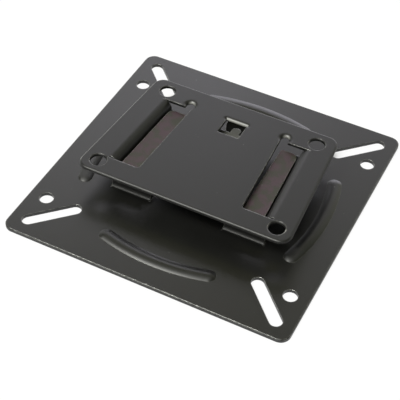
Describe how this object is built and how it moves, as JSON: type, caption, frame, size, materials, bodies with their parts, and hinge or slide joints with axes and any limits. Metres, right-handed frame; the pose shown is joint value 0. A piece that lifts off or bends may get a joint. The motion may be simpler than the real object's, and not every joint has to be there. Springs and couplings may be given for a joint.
{
  "type": "vesa wall mount",
  "caption": "Slim hang-on VESA wall mount: a square pressed screen plate whose lanced tongues slide into the rolled tracks of a smaller tapered wall plate.",
  "frame": {"origin": "middle of the screen plate's underside, the face that lies on the screen", "axes": "+Z from the screen to the wall, +Y down when the mount hangs, +X to complete the frame"},
  "size_m": [0.1142, 0.1142, 0.014],
  "materials": {
    "screen_coat": "satin",
    "wall_coat": "satin"
  },
  "bodies": {
    "screen_side": {"screen_plate": "screen_coat"},
    "wall_side": {"wall_plate": "wall_coat"}
  },
  "joints": [
    {"name": "hang_slide", "type": "slide", "parent": "screen_side", "child": "wall_side", "axis": [0, 1, 0], "range_m": [0, 0.042]}
  ]
}
